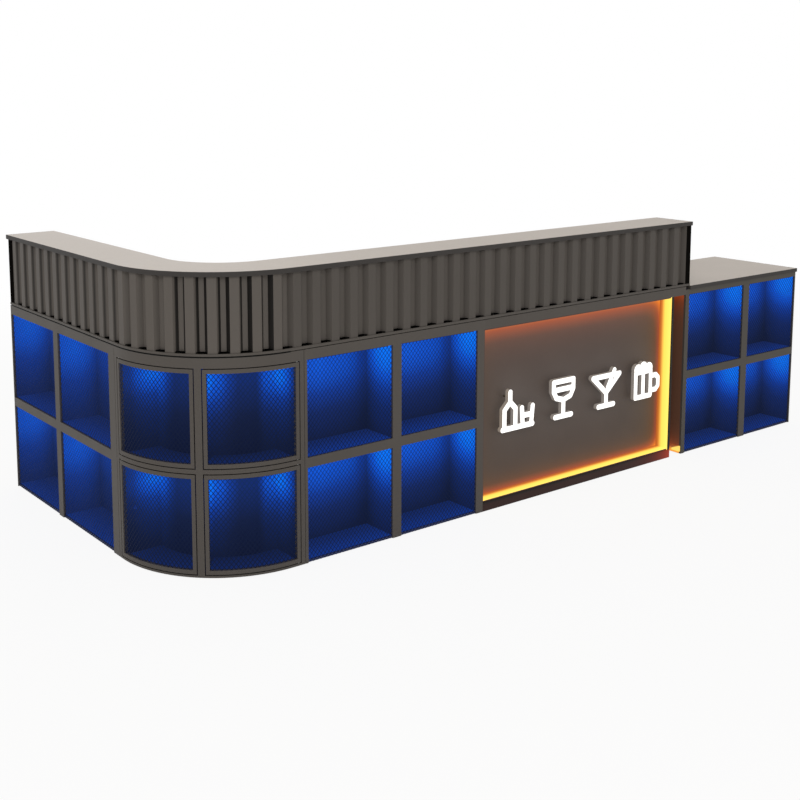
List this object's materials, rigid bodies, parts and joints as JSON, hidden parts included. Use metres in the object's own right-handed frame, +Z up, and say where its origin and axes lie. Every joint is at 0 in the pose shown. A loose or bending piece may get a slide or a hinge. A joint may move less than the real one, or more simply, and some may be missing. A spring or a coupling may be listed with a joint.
{
  "type": "bar counter",
  "caption": "L-shaped bar counter with a rounded corner, lit mesh-fronted display cubbies, a lit sign bay, a folded-metal riser under the raised bar top and staff-side storage.",
  "frame": {"origin": "middle of the bounding box's footprint, on the floor", "axes": "+X along the front towards the low cabinet, +Y from the customers to the staff, +Z up"},
  "size_m": [3.596, 1.518, 1.13],
  "materials": {
    "dark_frame_paint": "satin dark warm grey",
    "riser_paint": "satin dark warm grey",
    "expanded_mesh": "black expanded mesh",
    "display_board": "dark laminated board",
    "lit_back": "blue glowing acrylic",
    "channel_metal": "satin",
    "diffuser_white": "opal",
    "sign_diffuser": "opal amber",
    "led_tape": "amber light strip",
    "sign_board": "dark laminated board",
    "niche_board": "dark laminated board",
    "emblem_white": "white acrylic",
    "top_laminate": "pale warm laminate",
    "edge_band": "dark edge band",
    "carcass_board": "dark laminated board",
    "knob_metal": "brushed",
    "zinc_steel": "zinc plated",
    "black_plastic": "moulded",
    "driver_case": "natural"
  },
  "bodies": {
    "counter": {"wing_frame": "dark_frame_paint", "wing_display_boards": "display_board", "display_mesh_panels": "expanded_mesh", "cubby_led_channels": "channel_metal", "cubby_led_diffusers": "diffuser_white", "display_back_panels": "lit_back", "front_frame": "dark_frame_paint", "front_display_boards": "display_board", "right_frame": "dark_frame_paint", "right_display_boards": "display_board", "corner_frame": "dark_frame_paint", "corner_display_boards": "display_board", "corner_back_panel": "lit_back", "door_pivot_pins": "zinc_steel", "sign_bay_frame": "dark_frame_paint", "sign_panel": "sign_board", "sign_light_diffusers": "sign_diffuser", "sign_led_strips": "led_tape", "niche_panel": "niche_board", "sign_emblems": "emblem_white", "riser_cladding_wing": "riser_paint", "riser_cladding_corner": "riser_paint", "riser_cladding_front": "riser_paint", "riser_frame": "riser_paint", "riser_box_panels": "riser_paint", "bar_top_wing": "top_laminate", "bar_top_corner": "top_laminate", "bar_top_front": "top_laminate", "edge_trims": "edge_band", "worktop_corner": "top_laminate", "worktop_wing": "top_laminate", "worktop_front": "top_laminate", "wing_storage_boards": "carcass_board", "kick_boards": "carcass_board", "adjustable_shelves": "carcass_board", "shelf_pins": "zinc_steel", "front_storage_boards": "carcass_board", "right_storage_boards": "carcass_board", "end_panels": "carcass_board", "drawer_runners": "zinc_steel", "led_drivers": "driver_case", "power_inlet": "black_plastic", "joining_bolts": "zinc_steel", "levelling_glides": "black_plastic"},
    "corner_door_lower_left": {"corner_door_frame_lower_left": "dark_frame_paint", "corner_door_mesh_lower_left": "expanded_mesh"},
    "corner_door_lower_right": {"corner_door_frame_lower_right": "dark_frame_paint", "corner_door_mesh_lower_right": "expanded_mesh"},
    "corner_door_upper_left": {"corner_door_frame_upper_left": "dark_frame_paint", "corner_door_mesh_upper_left": "expanded_mesh"},
    "corner_door_upper_right": {"corner_door_frame_upper_right": "dark_frame_paint", "corner_door_mesh_upper_right": "expanded_mesh"},
    "cupboard_door_left": {"cupboard_door_left": "carcass_board", "cupboard_knob_left": "knob_metal"},
    "cupboard_door_right": {"cupboard_door_right": "carcass_board", "cupboard_knob_right": "knob_metal"},
    "drawer_lower": {"drawer_lower": "carcass_board", "drawer_knob_lower": "knob_metal"},
    "drawer_upper": {"drawer_upper": "carcass_board", "drawer_knob_upper": "knob_metal"}
  },
  "joints": [
    {"name": "corner_door_lower_left_hinge", "type": "hinge", "parent": "counter", "child": "corner_door_lower_left", "pos_m": [-1.786, -0.292, 0.203], "axis": [0, 0, -1], "range_deg": [0, 100]},
    {"name": "corner_door_lower_right_hinge", "type": "hinge", "parent": "counter", "child": "corner_door_lower_right", "pos_m": [-1.302, -0.747, 0.203], "axis": [0, 0, 1], "range_deg": [0, 100]},
    {"name": "corner_door_upper_left_hinge", "type": "hinge", "parent": "counter", "child": "corner_door_upper_left", "pos_m": [-1.786, -0.292, 0.596], "axis": [0, 0, -1], "range_deg": [0, 100]},
    {"name": "corner_door_upper_right_hinge", "type": "hinge", "parent": "counter", "child": "corner_door_upper_right", "pos_m": [-1.302, -0.747, 0.596], "axis": [0, 0, 1], "range_deg": [0, 100]},
    {"name": "cupboard_door_left_hinge", "type": "hinge", "parent": "counter", "child": "cupboard_door_left", "pos_m": [-0.373, -0.253, 0.443], "axis": [0, 0, 1], "range_deg": [0, 90]},
    {"name": "cupboard_door_right_hinge", "type": "hinge", "parent": "counter", "child": "cupboard_door_right", "pos_m": [0.454, -0.253, 0.443], "axis": [0, 0, -1], "range_deg": [0, 90]},
    {"name": "drawer_lower_slide", "type": "slide", "parent": "counter", "child": "drawer_lower", "axis": [0, 1, 0], "range_m": [0, 0.25]},
    {"name": "drawer_upper_slide", "type": "slide", "parent": "counter", "child": "drawer_upper", "axis": [0, 1, 0], "range_m": [0, 0.25]}
  ]
}
